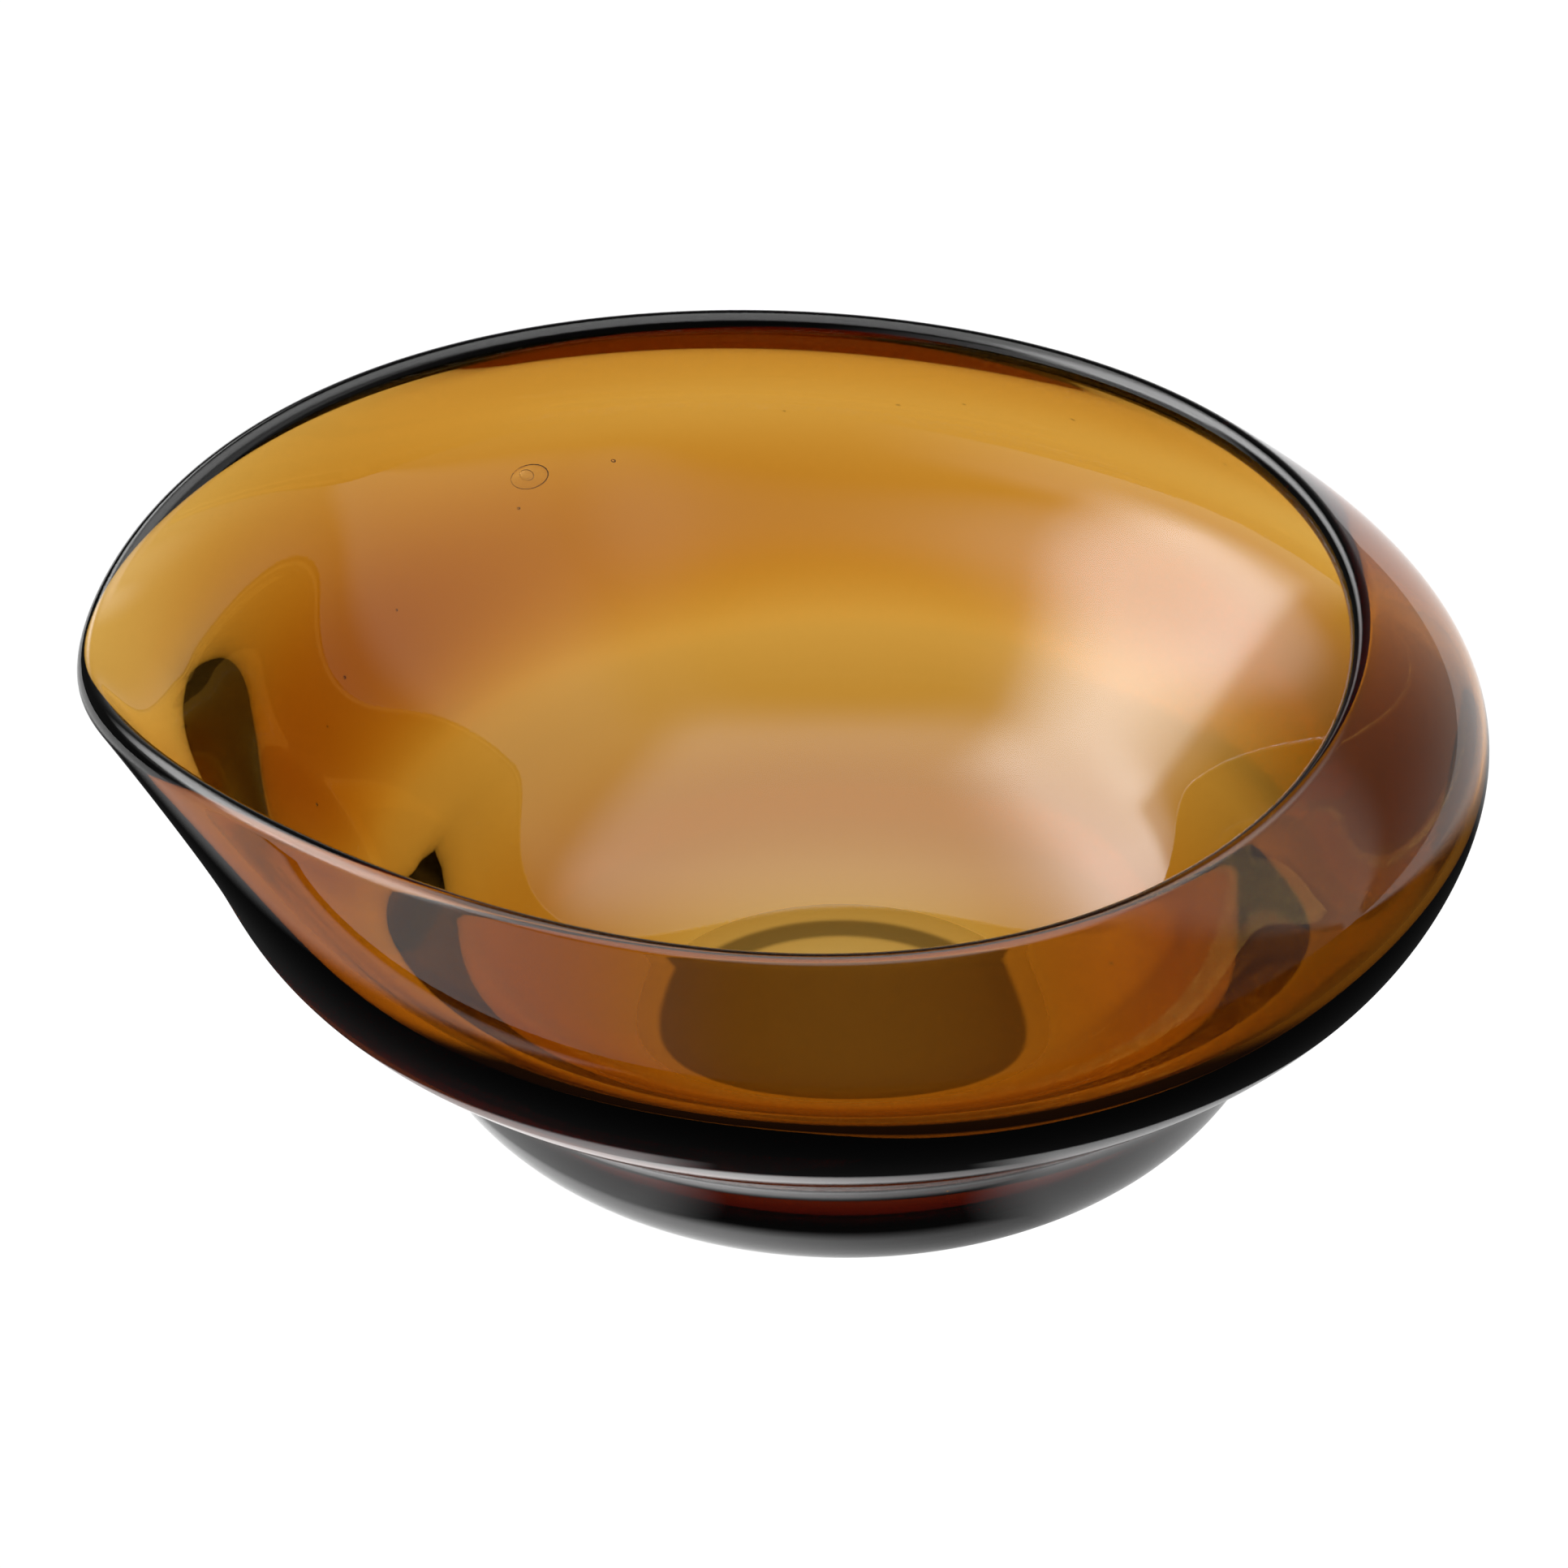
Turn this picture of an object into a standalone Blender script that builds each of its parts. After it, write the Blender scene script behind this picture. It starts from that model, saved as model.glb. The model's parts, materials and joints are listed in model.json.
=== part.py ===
"""Art glass bowl: a free-blown cup with a drawn-out lip, in a second gather of glass that makes the foot.

Run with: blender --background --python part.py
Metres, +Z up. The origin is the middle of the ground base, +X is the side away from the lip.

The cup isn't round, so it is a loft through closed rings. Each ring is given by a few harmonics
of the azimuth a (a = 0 at +X, a = 180 degrees at the lip), in millimetres:
    x = X[0] + X[1] cos a + X[2] cos 2a + X[3] cos 3a
    y = Y[0] sin a + Y[1] sin 2a + Y[2] sin 3a
    z = Z[0] + Z[1] cos a + Z[2] cos 2a + Z[3] cos 3a
A cubic B-spline runs through the rings from the crease above the foot up to the rim.
"""

import math

import bmesh
import bpy
from mathutils import Vector

MM = 0.001

# Driving dimensions, in millimetres
BASE_RADIUS = 38.5        # of the ground disc that the bowl stands on
FOOT_CURVE = ((76.0, 9.0), (71.0, 0.0))   # Bezier controls of the foot's belly, from the crease to the base
FOOT_TOP = 0.0165         # where along that curve the foot starts, so that the gap reaches its edge
CREASE_RADIUS = 83.5      # where the side of the foot meets the underside of the cup
CREASE_HEIGHT = 33.0
FLOOR_HEIGHT = 8.5        # the middle of the inner floor, above the surface that the bowl stands on
RIM_RADIUS = 2.5          # of the fire-polished edge, so the rim is twice this thick
HIGH_WALL = 6.0           # how far inside the shoulder's ring the inner one runs
BACK_WALL = 2.0           # and how much more than that at the back
GAP = 0.3                 # between the two gathers, which touch in the real bowl

# Outer rings from the foot to just under the rim, and the middle of the rounded rim
UNDERSIDE = {"X": (0, 103, -3), "Y": (97, -3), "Z": (43,)}
WAIST = {"X": (0, 114.5), "Y": (115, 2), "Z": (59.5,)}
SHOULDER = {"X": (-9, 118, 8), "Y": (116, -0.5), "Z": (81,)}
RIM = {"X": (-36, 112.5, 15.5, -1), "Y": (93, 20.5, -0.5), "Z": (92.25, 1.25, -2.25, 2.25)}

# Inner rings from under the shoulder down to the floor. The wall is thinner at the front (-Y) than at the
# back, so the upper three turn from one ring at the back into another at the front.
INNER_WAIST = {"X": (1.5, 108.5), "Y": (107, 1), "Z": (66,)}
INNER_LOW = {"X": (1, 90.5), "Y": (89.5, -1), "Z": (49.5,)}
INNER_HEEL = {"X": (0, 75.5), "Y": (75.5,), "Z": (32,)}
FRONT_WAIST = {"X": (0, 109.5), "Y": (108.5, 1.5), "Z": (63,)}
FRONT_LOW = {"X": (0, 97.5, -3), "Y": (91.5, -3), "Z": (48.5,)}
FRONT_HEEL = {"X": (0, 77), "Y": (76.5,), "Z": (33.5,)}
FRONT_TURN = (0.1, -0.3)  # the sines of the azimuths between which they turn
INNER_BOWL = {"X": (0, 59), "Y": (59,), "Z": (14,)}
INNER_FLOOR = {"X": (0, 25), "Y": (25,), "Z": (FLOOR_HEIGHT,)}

# The seam between the two gathers: radius and height of its spline controls, from the crease inwards
SEAM = ((78.5, 25), (69, 14), (57, 8), (40, 5.5), (20, 5), (0, 5))

# Mesh steps
AZIMUTHS = 64
OUTER_STEPS = 12
RIM_STEPS = 6
INNER_STEPS = 20
SEAM_STEPS = 14
FOOT_STEPS = 12

AMBER = (0.50, 0.22, 0.045, 1.0)


def clear_scene():
    for obj in list(bpy.data.objects):
        bpy.data.objects.remove(obj, do_unlink=True)


def glass(name, roughness):
    """Clear amber glass."""
    material = bpy.data.materials.new(name)
    material.use_nodes = True
    shader = material.node_tree.nodes["Principled BSDF"]
    shader.inputs["Base Color"].default_value = AMBER
    shader.inputs["Roughness"].default_value = roughness
    shader.inputs["Metallic"].default_value = 0.0
    shader.inputs["IOR"].default_value = 1.5
    shader.inputs["Transmission Weight"].default_value = 1.0
    return material


def azimuths():
    return [2 * math.pi * k / AZIMUTHS for k in range(AZIMUTHS)]


def ring_point(ring, a):
    x = sum(size * math.cos(k * a) for k, size in enumerate(ring["X"]))
    y = sum(size * math.sin((k + 1) * a) for k, size in enumerate(ring["Y"]))
    z = sum(size * math.cos(k * a) for k, size in enumerate(ring["Z"]))
    return Vector((x, y, z))


def inner_ring_point(back, front, a):
    """A point of the ring that is the back one behind the bowl's middle and the front one before it."""
    t = min(max((math.sin(a) - FRONT_TURN[0]) / (FRONT_TURN[1] - FRONT_TURN[0]), 0), 1)
    share = t * t * (3 - 2 * t)
    return ring_point(back, a) * (1 - share) + ring_point(front, a) * share


def spline_weights(count, t):
    """Weights of count control points in a clamped, uniform cubic B-spline at t from 0 to 1."""
    inner = [k / (count - 3) for k in range(1, count - 3)]
    knots = [0.0] * 4 + inner + [1.0] * 4
    t = min(t, 1 - 1e-9)
    weights = [1.0 if knots[i] <= t < knots[i + 1] else 0.0 for i in range(len(knots) - 1)]
    for degree in (1, 2, 3):
        raised = []
        for i in range(len(weights) - 1):
            left = knots[i + degree] - knots[i]
            right = knots[i + degree + 1] - knots[i + 1]
            value = (t - knots[i]) / left * weights[i] if left else 0.0
            value += (knots[i + degree + 1] - t) / right * weights[i + 1] if right else 0.0
            raised.append(value)
        weights = raised
    return weights


def spline(controls, steps):
    """Points along the B-spline, both ends included."""
    points = []
    for step in range(steps + 1):
        weights = spline_weights(len(controls), step / steps)
        points.append(sum((w * p for w, p in zip(weights, controls)), Vector((0, 0, 0))))
    return points


def rim_frame(a):
    """The middle of the rim at azimuth a, the direction that the wall rises in, and its outer side."""
    middle = ring_point(RIM, a)
    step = 0.001
    along = (ring_point(RIM, a + step) - ring_point(RIM, a - step)).normalized()
    outward = along.cross(Vector((0, 0, 1))).normalized()
    upward = outward.cross(along)
    rise = middle - ring_point(SHOULDER, a)
    out, up = rise.dot(outward), rise.dot(upward)
    lean = math.atan2(out, up) + math.asin(RIM_RADIUS / math.hypot(out, up))
    wall = outward * math.sin(lean) + upward * math.cos(lean)
    side = outward * math.cos(lean) - upward * math.sin(lean)
    return middle, wall, side


def seam_profile(below=0.0):
    """The seam's half outline in the XZ plane, from the axis out to the crease, moved along its normal."""
    controls = [Vector((CREASE_RADIUS, 0, CREASE_HEIGHT))] + [Vector((x, 0, z)) for x, z in SEAM]
    points = spline(controls, SEAM_STEPS)[::-1]
    moved = [Vector((0, 0, points[0].z - below))]
    for before, point, after in zip(points, points[1:], points[2:] + [points[-1]]):
        along = (after - before).normalized()
        moved.append(point + Vector((along.z, 0, -along.x)) * below)
    return moved


def cup_section(a):
    """The cup's outline at azimuth a: from the crease up to the rim and down inside to the floor."""
    middle, wall, side = rim_frame(a)
    shoulder = ring_point(SHOULDER, a)
    crease = Vector((CREASE_RADIUS * math.cos(a), CREASE_RADIUS * math.sin(a), CREASE_HEIGHT))
    outer = [crease, ring_point(UNDERSIDE, a), ring_point(WAIST, a), shoulder,
             middle + side * RIM_RADIUS]
    high_wall = HIGH_WALL + BACK_WALL * max(math.sin(a), 0)
    inner = [middle - side * RIM_RADIUS, shoulder - side * high_wall,
             inner_ring_point(INNER_WAIST, FRONT_WAIST, a), inner_ring_point(INNER_LOW, FRONT_LOW, a),
             inner_ring_point(INNER_HEEL, FRONT_HEEL, a), ring_point(INNER_BOWL, a),
             ring_point(INNER_FLOOR, a), Vector((0, 0, FLOOR_HEIGHT))]
    section = spline(outer, OUTER_STEPS)
    for step in range(1, RIM_STEPS):
        turn = math.pi * step / RIM_STEPS
        section.append(middle + (side * math.cos(turn) + wall * math.sin(turn)) * RIM_RADIUS)
    section += spline(inner, INNER_STEPS)[:-1]
    return section


def turned_circle(place):
    return [Vector((place.x * math.cos(a), place.x * math.sin(a), place.z)) for a in azimuths()]


def add_cup(collection):
    """A loft, because its sections change from a circle at the foot to a pointed egg at the rim."""
    sections = [cup_section(a) for a in azimuths()]
    under = seam_profile()
    levels = [turned_circle(place) for place in under[1:-1]] + list(zip(*sections))
    mesh = bmesh.new()
    rings = [[mesh.verts.new(point * MM) for point in level] for level in levels]
    seam = mesh.verts.new(under[0] * MM)
    floor = mesh.verts.new(Vector((0, 0, FLOOR_HEIGHT)) * MM)
    for lower, upper in zip(rings, rings[1:]):
        for k in range(AZIMUTHS):
            mesh.faces.new((lower[k - 1], lower[k], upper[k], upper[k - 1]))
    for k in range(AZIMUTHS):
        mesh.faces.new((rings[0][k], rings[0][k - 1], seam))
        mesh.faces.new((rings[-1][k - 1], rings[-1][k], floor))
    bmesh.ops.recalc_face_normals(mesh, faces=mesh.faces)
    return finish(mesh, "bowl_wall", glass("wall_glass", 0.0), collection)


def foot_profile():
    """The foot's half outline in the XZ plane: seam outwards, belly downwards, base inwards."""
    points = [(place.x, place.z) for place in seam_profile(GAP)[:-1]]
    controls = [(CREASE_RADIUS, CREASE_HEIGHT), *FOOT_CURVE, (BASE_RADIUS, 0.0)]
    for step in range(FOOT_STEPS + 1):
        t = FOOT_TOP + (1 - FOOT_TOP) * step / FOOT_STEPS
        weights = ((1 - t) ** 3, 3 * t * (1 - t) ** 2, 3 * t * t * (1 - t), t ** 3)
        points.append(tuple(sum(w * c[k] for w, c in zip(weights, controls)) for k in (0, 1)))
    points.append((0.0, 0.0))
    return points


def add_foot(collection):
    """A turned solid: the profile with a Screw modifier."""
    mesh = bmesh.new()
    points = [mesh.verts.new((x * MM, 0, z * MM)) for x, z in foot_profile()]
    for first, second in zip(points, points[1:]):
        mesh.edges.new((first, second))
    foot = finish(mesh, "solid_foot", glass("foot_glass", 0.05), collection)
    screw = foot.modifiers.new("turned", "SCREW")
    screw.axis = "Z"
    screw.angle = 2 * math.pi
    screw.steps = AZIMUTHS
    screw.render_steps = AZIMUTHS
    screw.use_merge_vertices = True
    screw.merge_threshold = 0.00005
    screw.use_smooth_shade = True
    return foot


def finish(mesh, name, material, collection):
    data = bpy.data.meshes.new(name)
    mesh.to_mesh(data)
    mesh.free()
    data.materials.append(material)
    data.shade_smooth()
    data.set_sharp_from_angle(angle=math.radians(40))
    obj = bpy.data.objects.new(name, data)
    collection.objects.link(obj)
    return obj


def main():
    clear_scene()
    collection = bpy.data.collections.new("art_glass_bowl")
    bpy.context.scene.collection.children.link(collection)
    origin = bpy.data.objects.new("bowl_origin", None)
    collection.objects.link(origin)
    for piece in (add_cup(collection), add_foot(collection)):
        piece.parent = origin


main()
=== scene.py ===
"""Art glass bowl: the looks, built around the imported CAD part.

The two CAD nodes are the two gathers of one fused mass of glass. Here the whole mass is one closed body of
pale glass, made from the same rings as the CAD part, so that light crosses no seam inside it. A second body,
just inside the cup's own surfaces, is the amber gather: it tints the light and doesn't bend it.
"""

import json
import math

import bmesh
import bpy
import numpy as np
from mathutils import Matrix, Vector

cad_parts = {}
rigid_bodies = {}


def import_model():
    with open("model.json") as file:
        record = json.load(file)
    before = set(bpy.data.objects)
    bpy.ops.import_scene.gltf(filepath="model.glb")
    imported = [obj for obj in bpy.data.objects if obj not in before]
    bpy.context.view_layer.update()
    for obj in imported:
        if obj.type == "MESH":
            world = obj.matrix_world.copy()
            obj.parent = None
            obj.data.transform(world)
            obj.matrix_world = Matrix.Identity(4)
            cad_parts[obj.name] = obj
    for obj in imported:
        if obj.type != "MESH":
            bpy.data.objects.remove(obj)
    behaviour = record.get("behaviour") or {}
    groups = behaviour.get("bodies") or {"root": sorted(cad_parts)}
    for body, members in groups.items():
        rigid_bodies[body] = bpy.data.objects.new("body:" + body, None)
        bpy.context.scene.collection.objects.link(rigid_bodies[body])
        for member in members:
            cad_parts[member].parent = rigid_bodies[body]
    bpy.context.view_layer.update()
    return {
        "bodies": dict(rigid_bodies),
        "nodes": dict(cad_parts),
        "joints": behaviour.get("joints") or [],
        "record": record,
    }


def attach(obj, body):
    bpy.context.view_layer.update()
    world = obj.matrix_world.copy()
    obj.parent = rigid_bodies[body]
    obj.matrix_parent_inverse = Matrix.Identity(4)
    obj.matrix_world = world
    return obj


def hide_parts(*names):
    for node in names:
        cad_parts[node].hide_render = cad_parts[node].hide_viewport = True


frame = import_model()

MM = 0.001

# ---------------------------------------------------------------- form, in millimetres
BASE_RADIUS = 38.5
FOOT_CURVE = ((71.0, 0.0), (76.0, 9.0))   # control points between the base's edge and the crease
CREASE_RADIUS = 83.5
CREASE_HEIGHT = 33.0
FLOOR_HEIGHT = 8.5
RIM_RADIUS = 2.5
HIGH_WALL = 6.0          # the wall's thickness under the rim
BACK_WALL = 2.0          # added to it at the back
CREASE_BLEND = 8.0       # how far the fire-softened crease reaches to each side
CREASE_CLEAR = 1.2       # rings nearer to the crease than this many times that are left out

# Each ring's coordinates: X and Z as cosine series of the azimuth from 0 up, Y as a sine series from 1 up.
UNDERSIDE = {"X": (0, 103, -3), "Y": (97, -3), "Z": (43,)}
WAIST = {"X": (0, 114.5), "Y": (115, 2), "Z": (59.5,)}
SHOULDER = {"X": (-9, 118, 8), "Y": (116, -0.5), "Z": (81,)}
RIM = {"X": (-36, 112.5, 15.5, -1), "Y": (93, 20.5, -0.5), "Z": (92.25, 1.25, -2.25, 2.25)}
INNER_WAIST = {"X": (1.5, 108.5), "Y": (107, 1), "Z": (66,)}
INNER_LOW = {"X": (1, 90.5), "Y": (89.5, -1), "Z": (49.5,)}
INNER_HEEL = {"X": (0, 75.5), "Y": (75.5,), "Z": (32,)}
INNER_BOWL = {"X": (0, 59), "Y": (59,), "Z": (14,)}
INNER_FLOOR = {"X": (0, 25), "Y": (25,), "Z": (FLOOR_HEIGHT,)}
FRONT_WAIST = {"X": (0, 109.5), "Y": (108.5, 1.5), "Z": (63,)}
FRONT_LOW = {"X": (0, 97.5, -3), "Y": (91.5, -3), "Z": (48.5,)}
FRONT_HEEL = {"X": (0, 77), "Y": (76.5,), "Z": (33.5,)}
FRONT_TURN = (0.1, -0.3)   # sines of the azimuths between which the wall thins to the front
SEAM = ((78.5, 25), (69, 14), (57, 8), (40, 5.5), (20, 5.0), (0, 5.0))   # under the cup, from the crease in

CORE_INSET = 0.05        # of the amber gather inside the glass's own surfaces

BIG_SEED = (121, 67)     # azimuth in degrees and height of the large flat bubble
BIG_TURN = -8            # degrees
BIG_SIZE, BIG_DEPTH = (4.1, 2.4, 0.3), 2.6
LENS_SIZE, LENS_DEPTH, LENS_SHIFT = (1.4, 1.2, 0.12), 1.4, (0.6, 0.5)
SEEDS = 26
SEED_TURN, SEED_START = 137.5, 20        # degrees from one seed to the next, and where they start
SEED_LOW, SEED_RISE = 12, 72             # the heights that they are spread over
SEED_RADIUS, SEED_SPREAD = 0.2, 0.22
SEED_STRETCH = 1.2
SEED_DEPTH, SEED_DEEPER = 1.2, 1.6
HEIGHT_STEP, SIZE_STEP, DEPTH_STEP = 0.618, 0.73, 0.377

AZIMUTHS = 320
BASE_RINGS = 8
SEAM_STEPS = 24
FOOT_STEPS = 24
CREASE_STEPS = 8
OUTER_STEPS = 80
RIM_STEPS = 16
INNER_STEPS = 96

angles = np.arange(AZIMUTHS) * 2 * math.pi / AZIMUTHS


def ring(spec, a=angles):
    """The points of a ring at azimuths a, as the CAD part gives them."""
    x = sum(size * np.cos(k * a) for k, size in enumerate(spec["X"]))
    y = sum(size * np.sin((k + 1) * a) for k, size in enumerate(spec["Y"]))
    z = sum(size * np.cos(k * a) for k, size in enumerate(spec["Z"]))
    return np.stack(np.broadcast_arrays(x, y, z), axis=-1)


def inner_ring(back, front):
    """A ring inside, which turns from one spec at the back into another at the front."""
    t = np.clip((np.sin(angles) - FRONT_TURN[0]) / (FRONT_TURN[1] - FRONT_TURN[0]), 0, 1)[:, None]
    share = t * t * (3 - 2 * t)
    return ring(back) * (1 - share) + ring(front) * share


def circle(radius, height):
    """A level, round ring."""
    return np.stack([radius * np.cos(angles), radius * np.sin(angles), np.full(AZIMUTHS, height)], axis=-1)


def spline_weights(count, t):
    """Weights of count control points in a clamped, uniform cubic B-spline at t from 0 to 1."""
    inner = [k / (count - 3) for k in range(1, count - 3)]
    knots = [0.0] * 4 + inner + [1.0] * 4
    t = min(t, 1 - 1e-9)
    weights = [1.0 if knots[i] <= t < knots[i + 1] else 0.0 for i in range(len(knots) - 1)]
    for degree in (1, 2, 3):
        raised = []
        for i in range(len(weights) - 1):
            left = knots[i + degree] - knots[i]
            right = knots[i + degree + 1] - knots[i + 1]
            value = (t - knots[i]) / left * weights[i] if left else 0.0
            value += (knots[i + degree + 1] - t) / right * weights[i + 1] if right else 0.0
            raised.append(value)
        weights = raised
    return weights


def spline(controls, steps):
    """Rings along the B-spline through the control rings, both ends included."""
    levels = []
    for step in range(steps + 1):
        weights = spline_weights(len(controls), step / steps)
        levels.append(sum(w * c for w, c in zip(weights, controls)))
    return levels


def rim_frame():
    """The middle of the rim, the direction that the wall rises in, and its outer side."""
    middle = ring(RIM)
    step = 0.001
    along = unit(ring(RIM, angles + step) - ring(RIM, angles - step))
    outward = unit(np.cross(along, (0, 0, 1)))
    upward = np.cross(outward, along)
    rise = middle - ring(SHOULDER)
    out, up = (rise * outward).sum(-1), (rise * upward).sum(-1)
    lean = (np.arctan2(out, up) + np.arcsin(RIM_RADIUS / np.hypot(out, up)))[:, None]
    wall = outward * np.sin(lean) + upward * np.cos(lean)
    side = outward * np.cos(lean) - upward * np.sin(lean)
    return middle, wall, side


def unit(vectors):
    """The vectors at length 1."""
    return vectors / np.linalg.norm(vectors, axis=-1, keepdims=True)


def foot_rings():
    """From the edge of the ground base round the belly of the foot up to the crease."""
    controls = [(BASE_RADIUS, 0.0), *FOOT_CURVE, (CREASE_RADIUS, CREASE_HEIGHT)]
    rings = []
    for step in range(FOOT_STEPS + 1):
        t = step / FOOT_STEPS
        weights = ((1 - t) ** 3, 3 * t * (1 - t) ** 2, 3 * t * t * (1 - t), t ** 3)
        radius = sum(w * c[0] for w, c in zip(weights, controls))
        height = sum(w * c[1] for w, c in zip(weights, controls))
        rings.append(circle(radius, height))
    return rings


def blend_crease(lower, upper):
    """Joins the foot's rings and the wall's rings with a small concave curve in place of the sharp crease."""
    corner = lower[-1]
    below = corner + unit(lower[-3] - corner) * CREASE_BLEND
    above = corner + unit(upper[3] - corner) * CREASE_BLEND
    low, high = ([r for r in rings if np.linalg.norm(r - corner, axis=-1).min() > CREASE_BLEND * CREASE_CLEAR]
                 for rings in (lower, upper))
    curve = []
    for step in range(CREASE_STEPS + 1):
        t = step / CREASE_STEPS
        curve.append(below * (1 - t) ** 2 + corner * 2 * t * (1 - t) + above * t * t)
    return low + curve[:CREASE_STEPS // 2], curve[CREASE_STEPS // 2:] + high


def cup_rings():
    """The cup's outer side from the crease up, its rounded rim, and its inside down to the floor's centre."""
    middle, wall, side = rim_frame()
    shoulder = ring(SHOULDER)
    crease = circle(CREASE_RADIUS, CREASE_HEIGHT)
    outer = spline([crease, ring(UNDERSIDE), ring(WAIST), shoulder, middle + side * RIM_RADIUS], OUTER_STEPS)
    rim = []
    for step in range(1, RIM_STEPS):
        turn = math.pi * step / RIM_STEPS
        rim.append(middle + (side * math.cos(turn) + wall * math.sin(turn)) * RIM_RADIUS)
    back = BACK_WALL * np.clip(np.sin(angles), 0, 1)[:, None]
    inner = spline([middle - side * RIM_RADIUS, shoulder - side * (HIGH_WALL + back),
                    inner_ring(INNER_WAIST, FRONT_WAIST), inner_ring(INNER_LOW, FRONT_LOW),
                    inner_ring(INNER_HEEL, FRONT_HEEL), ring(INNER_BOWL), ring(INNER_FLOOR),
                    circle(0.0, FLOOR_HEIGHT)], INNER_STEPS)[:-1]
    return outer, rim, inner


def glass_levels():
    """All the glass, from the middle of the base round to the floor's centre, and the number of base rings."""
    outer, rim, inner = cup_rings()
    base = [circle(BASE_RADIUS * k / BASE_RINGS, 0.0) for k in range(1, BASE_RINGS)]
    foot, wall = blend_crease(foot_rings(), outer[1:])
    return base + foot + wall + rim + inner, len(base)


def core_levels():
    """The amber gather alone: under it runs the seam with the paler glass of the foot."""
    outer, rim, inner = cup_rings()
    foot, wall = blend_crease(foot_rings(), outer[1:])
    controls = [wall[0]] + [circle(*place) for place in SEAM]
    return spline(controls, SEAM_STEPS)[-2:0:-1] + wall + rim + inner


def add_mesh(name, mesh, materials):
    """A smooth-shaded object from a bmesh, which it frees."""
    data = bpy.data.meshes.new(name)
    mesh.to_mesh(data)
    mesh.free()
    for material in materials:
        data.materials.append(material)
    data.shade_smooth()
    obj = bpy.data.objects.new(name, data)
    bpy.context.scene.collection.objects.link(obj)
    return obj


def add_body(levels, bottom_height):
    """A closed body through the rings of levels, with a point in the middle of its bottom and its floor."""
    mesh = bmesh.new()
    rings = [[mesh.verts.new(Vector(point) * MM) for point in level] for level in levels]
    bottom = mesh.verts.new((0, 0, bottom_height * MM))
    floor = mesh.verts.new((0, 0, FLOOR_HEIGHT * MM))
    for lower, upper in zip(rings, rings[1:]):
        for k in range(AZIMUTHS):
            mesh.faces.new((lower[k - 1], lower[k], upper[k], upper[k - 1]))
    for k in range(AZIMUTHS):
        mesh.faces.new((rings[0][k], rings[0][k - 1], bottom))
        mesh.faces.new((rings[-1][k - 1], rings[-1][k], floor))
    bmesh.ops.recalc_face_normals(mesh, faces=mesh.faces)
    return mesh, rings


def wall_place(azimuth, height):
    """A place on the inside: its point, and the directions along the wall, up it and into the glass."""
    inner = cup_rings()[2]
    k = round(azimuth / 360 * AZIMUTHS) % AZIMUTHS
    column = np.array([level[k] for level in inner])
    i = int(np.clip(np.abs(column[:, 2] - height).argmin(), 1, len(inner) - 2))
    along = unit(inner[i][(k + 1) % AZIMUTHS] - inner[i][k - 1])
    up = unit(column[i - 1] - column[i + 1])
    return column[i], along, up, np.cross(along, up)


def add_bubble(mesh, place, size, depth, turn=0.0, shift=(0.0, 0.0)):
    """A closed pocket of air in the glass: size is its half width, half height and half thickness."""
    point, along, up, into = wall_place(*place)
    turned = along * math.cos(turn) + up * math.sin(turn)
    across = up * math.cos(turn) - along * math.sin(turn)
    centre = point + into * depth + turned * shift[0] + across * shift[1]
    rows = [list(axis * half) + [0] for axis, half in zip((turned, across, into), size)]
    axes = Matrix(rows + [[0, 0, 0, 1]])
    frame = Matrix.Translation(Vector(centre) * MM) @ axes.transposed() @ Matrix.Scale(MM, 4)
    made = bmesh.ops.create_icosphere(mesh, subdivisions=3 if size[0] > 1 else 2, radius=1.0, matrix=frame)
    faces = list({face for vert in made["verts"] for face in vert.link_faces})
    for face in faces:
        face.normal_update()
        if face.normal.dot(face.calc_center_median() - Vector(centre) * MM) > 0:
            face.normal_flip()


def add_seeds(mesh):
    """The large flat bubble in the wall, with a small one over it, and the tiny seeds spread through it."""
    turn = math.radians(BIG_TURN)
    add_bubble(mesh, BIG_SEED, BIG_SIZE, BIG_DEPTH, turn)
    add_bubble(mesh, BIG_SEED, LENS_SIZE, LENS_DEPTH, turn, LENS_SHIFT)
    for n in range(SEEDS):
        place = (SEED_TURN * n + SEED_START, SEED_LOW + SEED_RISE * (HEIGHT_STEP * n % 1))
        radius = SEED_RADIUS + SEED_SPREAD * (SIZE_STEP * n % 1)
        depth = SEED_DEPTH + SEED_DEEPER * (DEPTH_STEP * n % 1)
        add_bubble(mesh, place, (radius * SEED_STRETCH, radius, radius), depth)


def add_glass():
    """All the glass of the bowl, with its ground base in satin and a sharp edge round it."""
    levels, base = glass_levels()
    mesh, rings = add_body(levels, 0.0)
    for face in mesh.faces:
        flat = max(vert.co.z for vert in face.verts) < 1e-6
        face.material_index = 1 if flat else 0
    for edge in rings_edges(rings[base]):
        edge.smooth = False
    add_seeds(mesh)
    return add_mesh("bowl_glass", mesh, [clear_glass(), satin_glass()])


def add_core():
    """The amber of the cup, just inside the glass's own surfaces: it tints the light without bending it."""
    mesh, rings = add_body(core_levels(), SEAM[-1][1])
    mesh.normal_update()
    inset = [vert.co - vert.normal * CORE_INSET * MM for vert in mesh.verts]
    for vert, place in zip(mesh.verts, inset):
        vert.co = place
    return add_mesh("amber_gather", mesh, [amber_tint()])


def rings_edges(loop):
    """The mesh edges along a closed loop of vertices."""
    members = set(loop)
    return [edge for vert in loop for edge in vert.link_edges if edge.other_vert(vert) in members]


# ---------------------------------------------------------------- materials
IOR = 1.5
SATIN = 0.35             # roughness of the ground base
AMBER = (0.80, 0.596, 0.02, 1.0)
ABSORB_DENSITY = 490.0
FOOT_SHARE = 0.1         # of that density, in all of the glass; the rest is the amber gather's own


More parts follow.
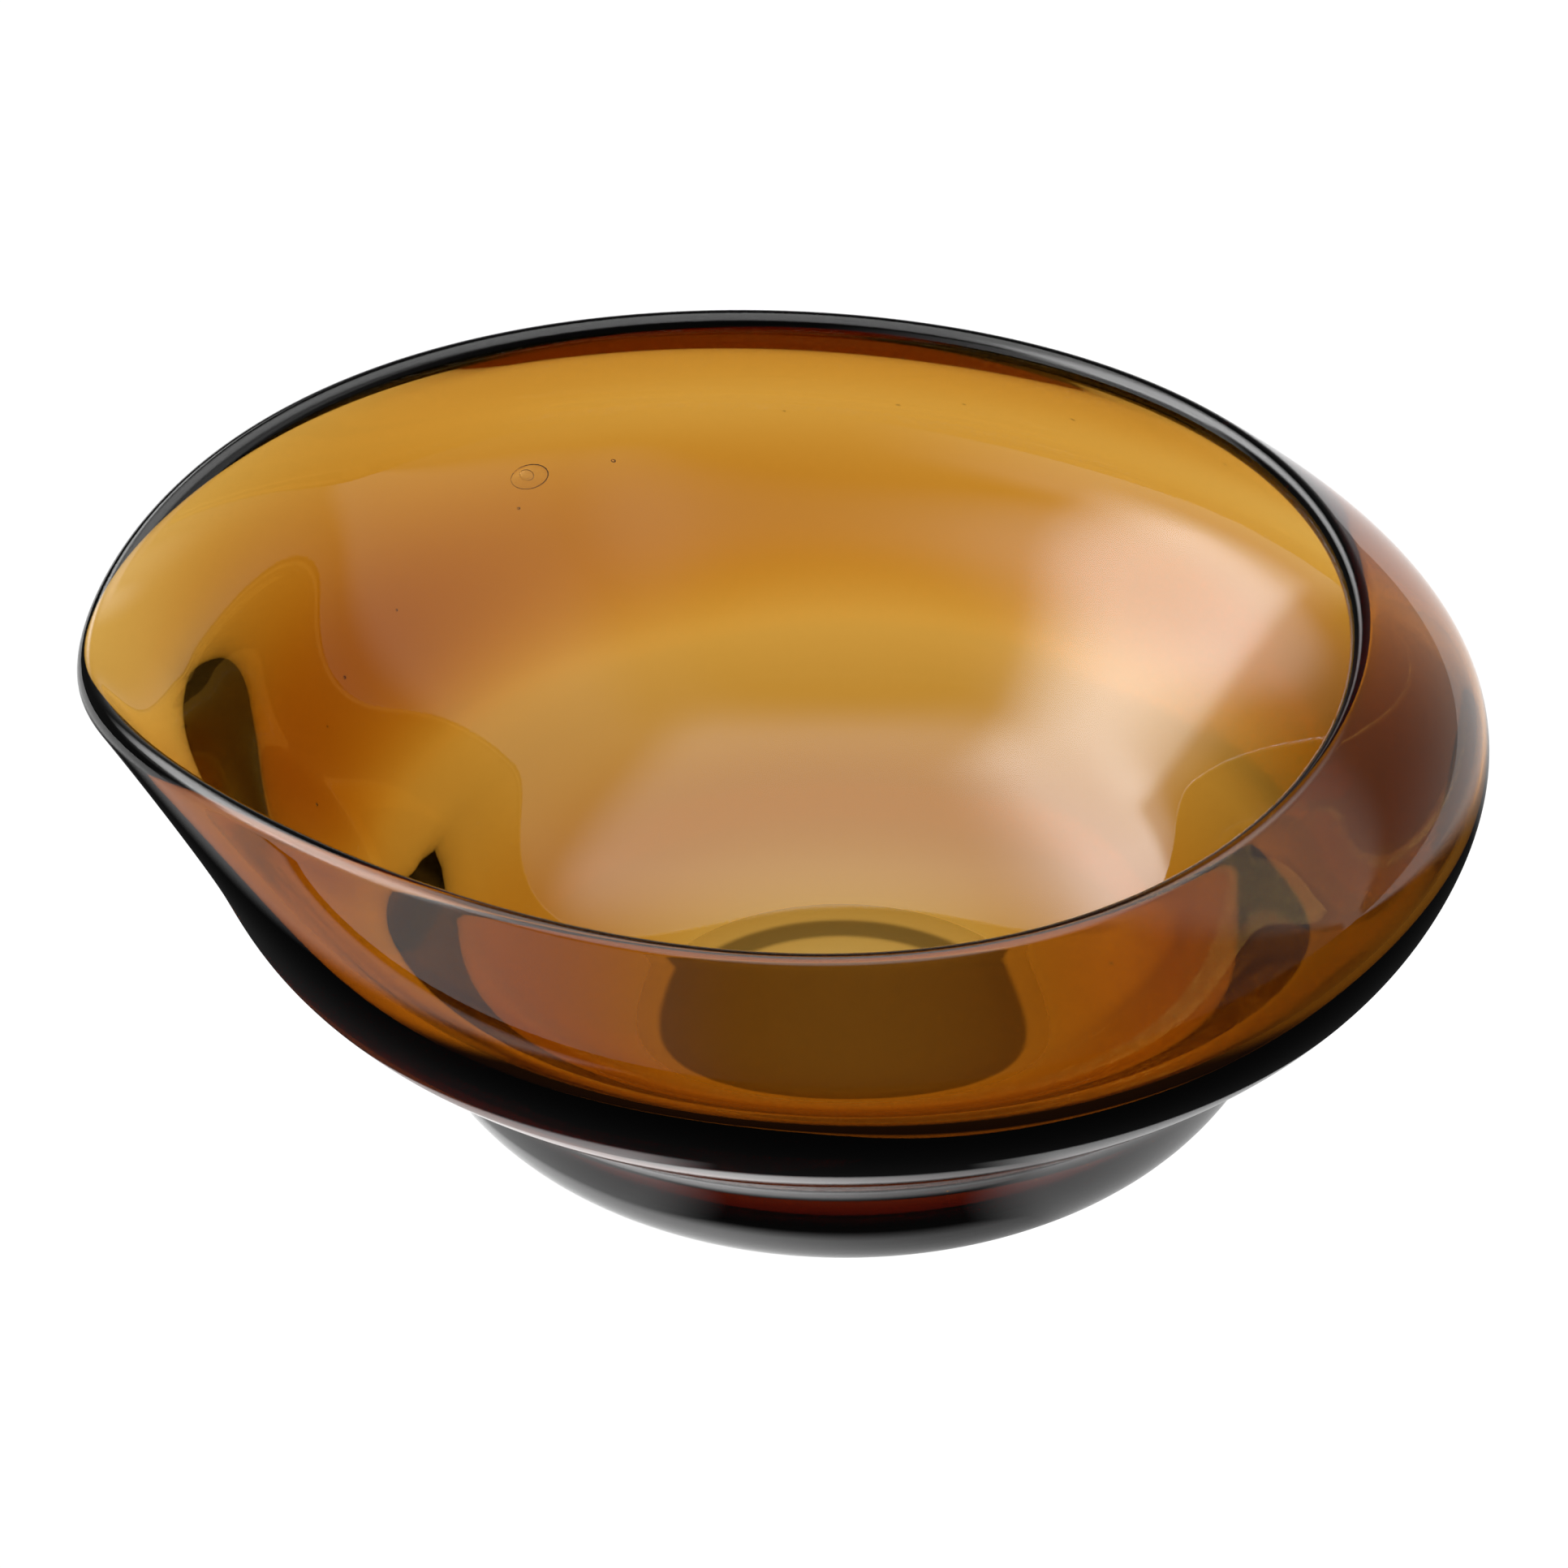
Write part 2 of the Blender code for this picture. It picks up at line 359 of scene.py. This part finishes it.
def glass_material(name, roughness, ior, density):
    """Clear glass that absorbs light as it goes, so that thick glass is deep and thin glass is pale."""
    material = bpy.data.materials.new(name)
    material.use_nodes = True
    nodes, links = material.node_tree.nodes, material.node_tree.links
    shader = nodes["Principled BSDF"]
    shader.inputs["Base Color"].default_value = (1, 1, 1, 1)
    shader.inputs["Roughness"].default_value = roughness
    shader.inputs["IOR"].default_value = ior
    shader.inputs["Transmission Weight"].default_value = 1.0
    absorb = nodes.new("ShaderNodeVolumeAbsorption")
    absorb.inputs["Color"].default_value = AMBER
    absorb.inputs["Density"].default_value = density
    links.new(absorb.outputs["Volume"], nodes["Material Output"].inputs["Volume"])
    return material


def clear_glass():
    return glass_material("amber_glass", 0.0, IOR, ABSORB_DENSITY * FOOT_SHARE)


def satin_glass():
    return glass_material("ground_satin_glass", SATIN, IOR, ABSORB_DENSITY * FOOT_SHARE)


def amber_tint():
    return glass_material("amber_tint", 0.0, 1.0, ABSORB_DENSITY * (1 - FOOT_SHARE))


# ---------------------------------------------------------------- stage
def emission(name, strength):
    """A white emission material."""
    material = bpy.data.materials.new(name)
    material.use_nodes = True
    nodes, links = material.node_tree.nodes, material.node_tree.links
    nodes.clear()
    shader = nodes.new("ShaderNodeEmission")
    shader.inputs["Color"].default_value = (1, 1, 1, 1)
    shader.inputs["Strength"].default_value = strength
    output = nodes.new("ShaderNodeOutputMaterial")
    links.new(shader.outputs["Emission"], output.inputs["Surface"])
    return material


def math_node(nodes, links, operation, *inputs):
    """A Math node; an input is a socket or a number."""
    node = nodes.new("ShaderNodeMath")
    node.operation = operation
    for index, value in enumerate(inputs):
        if isinstance(value, (int, float)):
            node.inputs[index].default_value = value
        else:
            links.new(value, node.inputs[index])
    return node.outputs["Value"]


def ramp(nodes, links, value, start, end, at_start=0.0, at_end=1.0):
    """A smooth step of a socket's value: at_start up to start and at_end from end on, in either direction."""
    low, high = sorted(((start, at_start), (end, at_end)))
    node = nodes.new("ShaderNodeMapRange")
    node.interpolation_type = "SMOOTHSTEP"
    node.inputs["From Min"].default_value = low[0]
    node.inputs["From Max"].default_value = high[0]
    node.inputs["To Min"].default_value = low[1]
    node.inputs["To Max"].default_value = high[1]
    links.new(value, node.inputs["Value"])
    return node.outputs["Result"]


def either(nodes, links, factor, at_zero, at_one):
    """at_zero where the factor is 0, at_one where it is 1."""
    keep = math_node(nodes, links, "MULTIPLY", math_node(nodes, links, "SUBTRACT", 1.0, factor), at_zero)
    return math_node(nodes, links, "ADD", keep, math_node(nodes, links, "MULTIPLY", factor, at_one))


def product(nodes, links, *values):
    total = values[0]
    for value in values[1:]:
        total = math_node(nodes, links, "MULTIPLY", total, value)
    return total


def without(nodes, links, factor):
    """1 less the factor."""
    return math_node(nodes, links, "SUBTRACT", 1.0, factor)


# The table's brightness by place. Each pair of places, in metres, is a soft edge from the first to the second.
FLOOR_WHITE = 1.05                # to the camera

# Through the glass.
GLOW_FRONT, GLOW_NEAR, GLOW_BACK = 0.1, 1.05, 1.3
FRONT_EDGE, BACK_EDGE = (-0.16, -0.03), (0.07, 0.17)
GLOW_SIDE = 1.2                   # at the left
SIDE_EDGE, SIDE_FRONT = (-0.085, -0.115), (-0.35, -0.2)
RIGHT_DIM = 0.6                   # how much the right is dimmed
RIGHT_EDGE, RIGHT_BACK = (0.055, 0.095), (0.14, 0.08)
GLOW_SHADE = 0.03                 # in the shade in front of the foot
SHADE_EDGE, SHADE_BACK = (0.082, 0.092), (-0.02, -0.05)
SHADE_WIDE, SHADE_SOFT = 0.09, 0.03
CONTACT_SHADE_FRONT, CONTACT_SHADE_BACK, CONTACT_SHADE_RING = 0.38, 1.0, 0.36   # painted contact shade on the table under the ground base, dimmest in a ring round its edge
DISC_TURN, DISC_INNER, DISC_EDGE = (0.014, 0.020), (0.0285, 0.0300), (0.0335, 0.0350)

# In reflections.
MIRROR_NEAR, MIRROR_FAR = 0.02, 1.1
MIRROR_BACK = (0.05, 0.15)
MIRROR_LEFT, MIRROR_FRONT = (-0.18, -0.26), (-0.6, -0.35)
MIRROR_SKIRT = (1.1, 0.4)         # close round the foot, at the left and at the right
SKIRT_EDGE, SKIRT_TURN = (0.081, 0.076), (-0.03, 0.03)
MIRROR_FLANK = 0.6                # at the foot's two sides
FLANK_EDGE, FLANK_WIDE = (0.092, 0.088), (0.024, 0.046)


def floor_through(nodes, links, x, y, radius):
    """The table through the glass, with painted light and shade: bright behind, dimmer at the right, and dark
    in front and under the base, a painted shadow of the bowl and painted contact shade.
    """
    through = math_node(nodes, links, "ADD", ramp(nodes, links, y, *FRONT_EDGE, GLOW_FRONT, GLOW_NEAR),
                        ramp(nodes, links, y, *BACK_EDGE, 0.0, GLOW_BACK - GLOW_NEAR))
    side = product(nodes, links, ramp(nodes, links, x, *SIDE_EDGE), ramp(nodes, links, y, *SIDE_FRONT))
    through = either(nodes, links, side, through, GLOW_SIDE)
    right = product(nodes, links, ramp(nodes, links, x, *RIGHT_EDGE), ramp(nodes, links, y, *RIGHT_BACK))
    through = product(nodes, links, through, without(nodes, links, product(nodes, links, right, RIGHT_DIM)))
    shade = product(nodes, links, ramp(nodes, links, radius, *SHADE_EDGE),
                    ramp(nodes, links, y, *SHADE_BACK),
                    ramp(nodes, links, x, -SHADE_WIDE - SHADE_SOFT, -SHADE_WIDE),
                    ramp(nodes, links, x, SHADE_WIDE + SHADE_SOFT, SHADE_WIDE))
    through = either(nodes, links, shade, through, GLOW_SHADE)
    # Painted contact shade on the table under the ground base: darker at its front and in a ring round its
    # edge.
    patch = ramp(nodes, links, y, *DISC_TURN, CONTACT_SHADE_FRONT, CONTACT_SHADE_BACK)
    base_contact_shade = either(nodes, links, ramp(nodes, links, radius, *DISC_INNER), patch, CONTACT_SHADE_RING)
    return either(nodes, links, ramp(nodes, links, radius, *DISC_EDGE), base_contact_shade, through)


def floor_mirrored(nodes, links, x, y, radius):
    """The table in reflections, with painted light and shade: a painted shadow dark near the bowl, and painted
    light behind, far left and close round the foot.
    """
    left = product(nodes, links, ramp(nodes, links, x, *MIRROR_LEFT), ramp(nodes, links, y, *MIRROR_FRONT))
    far = math_node(nodes, links, "MAXIMUM", ramp(nodes, links, y, *MIRROR_BACK), left)
    mirrored = either(nodes, links, far, MIRROR_NEAR, MIRROR_FAR)
    skirt = product(nodes, links, ramp(nodes, links, radius, *SKIRT_EDGE),
                    ramp(nodes, links, x, *SKIRT_TURN, *MIRROR_SKIRT))
    flank = product(nodes, links, ramp(nodes, links, radius, *FLANK_EDGE),
                    ramp(nodes, links, math_node(nodes, links, "ABSOLUTE", x), *FLANK_WIDE), MIRROR_FLANK)
    return math_node(nodes, links, "MAXIMUM", mirrored, math_node(nodes, links, "MAXIMUM", skirt, flank))


def floor_material():
    """White to the camera; through the glass and in reflections it stands in for the studio's uneven light."""
    material = emission("floor_glow", FLOOR_WHITE)
    nodes, links = material.node_tree.nodes, material.node_tree.links
    output, white = nodes["Material Output"], nodes["Emission"]
    geometry = nodes.new("ShaderNodeNewGeometry")
    split = nodes.new("ShaderNodeSeparateXYZ")
    links.new(geometry.outputs["Position"], split.inputs["Vector"])
    x, y = split.outputs["X"], split.outputs["Y"]
    radius = math_node(nodes, links, "POWER", math_node(
        nodes, links, "ADD", product(nodes, links, x, x), product(nodes, links, y, y)), 0.5)
    through = floor_through(nodes, links, x, y, radius)
    mirrored = floor_mirrored(nodes, links, x, y, radius)

    path = nodes.new("ShaderNodeLightPath")
    glow = nodes.new("ShaderNodeEmission")
    links.new(either(nodes, links, path.outputs["Is Transmission Ray"], mirrored, through),
              glow.inputs["Strength"])
    mix = nodes.new("ShaderNodeMixShader")
    links.new(path.outputs["Is Camera Ray"], mix.inputs["Fac"])
    links.new(glow.outputs["Emission"], mix.inputs[1])
    links.new(white.outputs["Emission"], mix.inputs[2])
    links.new(mix.outputs["Shader"], output.inputs["Surface"])
    return material


FLOOR_RADIUS, FLOOR_SEGMENTS = 6.0, 96
FLOOR_DROP = 0.0004               # keeps the table just clear of the ground base


def add_floor():
    mesh = bmesh.new()
    bmesh.ops.create_circle(mesh, cap_ends=True, segments=FLOOR_SEGMENTS, radius=FLOOR_RADIUS)
    floor = add_mesh("studio_floor", mesh, [floor_material()])
    floor.location.z = -FLOOR_DROP


# The lights, as directions from the bowl in degrees of azimuth (0 at +X, 90 at +Y) and elevation.
# Each is (azimuth of its middle, half width, softness of its near and far side edges, low edge, its softness,
# high edge, its softness, strength).
LIGHTS = {
    "front_left_softbox": (-155, 36, 8, 28, -5, 5, 40, 6, 1.35),
    "right_softbox": (62, 46, 18, 12, -32, 6, 10, 14, 0.38),
    "right_wall": (20, 50, 20, 20, -20, 15, 42, 12, 0.12),
}

# The two panels' soft edges are slopes from overhead (X or Y over height), other than where degrees are named.
LEFT_LIGHT = 5.2
LEFT_RIGHT_EDGE = (-0.2, -0.7)
LEFT_FRONT_EDGE = (-135, -165)   # degrees of azimuth
LEFT_BOTTOM = (18, 36)           # degrees of elevation
LEFT_LOW = (-1.2, -1.5)          # where the panel is this low, it is weaker at the back
LEFT_BACK = (0.18, 0.4)
LEFT_BACK_SHARE = 0.85
TOP_LIGHT = 2.4
TOP_FRONT = (-0.85, -0.35)
TOP_BACK = (1.2, 0.55)
TOP_LEFT = (-2.0, -1.4)
TOP_RIGHT = (1.0, 0.5)
TOP_RIGHT_SHARE = 0.25           # of its strength beyond the right edge
HEIGHT_LEAST = 0.05              # keeps the slopes finite at the horizon
WEST_LEAST = -0.02               # and the azimuth's slope finite overhead

AMBIENT = 0.05
WORLD_WHITE = 1.0                # to the camera


def light_patch(nodes, links, direction, light):
    """A soft-edged rectangle of light in azimuth and elevation."""
    middle, half, soft_near, soft_far, low, soft_low, high, soft_high, strength = light
    turn = nodes.new("ShaderNodeVectorRotate")
    turn.rotation_type = "Z_AXIS"
    turn.inputs["Angle"].default_value = -math.radians(middle)
    links.new(direction, turn.inputs["Vector"])
    split = nodes.new("ShaderNodeSeparateXYZ")
    links.new(turn.outputs["Vector"], split.inputs["Vector"])
    azimuth = math_node(nodes, links, "ARCTAN2", split.outputs["Y"], split.outputs["X"])
    elevation = math_node(nodes, links, "ARCSINE", split.outputs["Z"])
    edges = [(azimuth, -half, soft_near, 1), (azimuth, half, soft_far, -1),
             (elevation, low, soft_low, 1), (elevation, high, soft_high, -1)]
    total = strength
    for value, place, soft, sign in edges:
        start, end = place - sign * soft, place + sign * soft
        total = math_node(nodes, links, "MULTIPLY",
                          ramp(nodes, links, value, math.radians(start), math.radians(end)), total)
    return total


def overhead_slopes(nodes, links, direction):
    """The direction's X, Y and Z, and its slopes from overhead along X and along Y."""
    split = nodes.new("ShaderNodeSeparateXYZ")
    links.new(direction, split.inputs["Vector"])
    x, y, z = (split.outputs[name] for name in "XYZ")
    height = math_node(nodes, links, "MAXIMUM", z, HEIGHT_LEAST)
    u, v = (math_node(nodes, links, "DIVIDE", value, height) for value in (x, y))
    return x, y, z, u, v


def top_light(nodes, links, direction):
    """A broad panel overhead that reaches down behind the bowl, soft at its front, weaker at the right."""
    u, v = overhead_slopes(nodes, links, direction)[3:]
    return product(nodes, links, ramp(nodes, links, v, *TOP_FRONT), ramp(nodes, links, v, *TOP_BACK),
                   ramp(nodes, links, u, *TOP_RIGHT, TOP_RIGHT_SHARE, 1.0),
                   ramp(nodes, links, u, *TOP_LEFT), TOP_LIGHT)


def left_light(nodes, links, direction):
    """A strong soft panel at the left, from low down up to nearly overhead."""
    x, y, z, u, v = overhead_slopes(nodes, links, direction)
    back = product(nodes, links, ramp(nodes, links, u, *LEFT_LOW), ramp(nodes, links, v, *LEFT_BACK),
                   LEFT_BACK_SHARE)
    bottom = ramp(nodes, links, z, *(math.sin(math.radians(e)) for e in LEFT_BOTTOM))
    slope = math_node(nodes, links, "DIVIDE", y, math_node(nodes, links, "MINIMUM", x, WEST_LEAST))
    front = ramp(nodes, links, slope, *(math.tan(math.radians(a)) for a in LEFT_FRONT_EDGE))
    return product(nodes, links, ramp(nodes, links, u, *LEFT_RIGHT_EDGE), bottom, front,
                   without(nodes, links, back), LEFT_LIGHT)


def add_world():
    """The studio's lights, seen by the bowl alone; the camera sees plain white."""
    world = bpy.data.worlds.new("studio")
    bpy.context.scene.world = world
    world.use_nodes = True
    nodes, links = world.node_tree.nodes, world.node_tree.links
    place = nodes.new("ShaderNodeTexCoord")
    direction = place.outputs["Generated"]
    total = math_node(nodes, links, "ADD", top_light(nodes, links, direction),
                      left_light(nodes, links, direction))
    for light in LIGHTS.values():
        total = math_node(nodes, links, "ADD", total, light_patch(nodes, links, direction, light))
    total = math_node(nodes, links, "ADD", total, AMBIENT)
    path = nodes.new("ShaderNodeLightPath")
    mix = nodes.new("ShaderNodeMix")
    links.new(path.outputs["Is Camera Ray"], mix.inputs["Factor"])
    links.new(total, mix.inputs["A"])
    mix.inputs["B"].default_value = WORLD_WHITE
    links.new(mix.outputs["Result"], nodes["Background"].inputs["Strength"])
    nodes["Background"].inputs["Color"].default_value = (1, 1, 1, 1)


CAMERA_LENS, CAMERA_SENSOR, CAMERA_NEAR = 181.9, 36.0, 0.05
CAMERA_TARGET = (-0.0105, 0, 0.0589)
CAMERA_ELEVATION, CAMERA_DISTANCE = math.radians(35), 1.407
GLASS_BOUNCES, OTHER_BOUNCES = 24, 16


def add_camera():
    data = bpy.data.cameras.new("camera")
    data.lens, data.sensor_width, data.clip_start = CAMERA_LENS, CAMERA_SENSOR, CAMERA_NEAR
    camera = bpy.data.objects.new("camera", data)
    away = Vector((0, -math.cos(CAMERA_ELEVATION), math.sin(CAMERA_ELEVATION)))
    camera.location = Vector(CAMERA_TARGET) + away * CAMERA_DISTANCE
    camera.rotation_euler = (math.pi / 2 - CAMERA_ELEVATION, 0, 0)
    bpy.context.scene.collection.objects.link(camera)
    bpy.context.scene.camera = camera


def set_render():
    """Enough bounces for light to get through the thick glass."""
    scene = bpy.context.scene
    scene.view_settings.view_transform = "Standard"
    scene.cycles.max_bounces = GLASS_BOUNCES
    scene.cycles.transmission_bounces = GLASS_BOUNCES
    scene.cycles.glossy_bounces = OTHER_BOUNCES
    scene.cycles.transparent_max_bounces = OTHER_BOUNCES
    scene.cycles.use_denoising = True


# ---------------------------------------------------------------- build
glass = add_glass()
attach(glass, "root")
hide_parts("solid_foot")
core = add_core()
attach(core, "root")
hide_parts("bowl_wall")
add_floor()
add_world()
add_camera()
set_render()
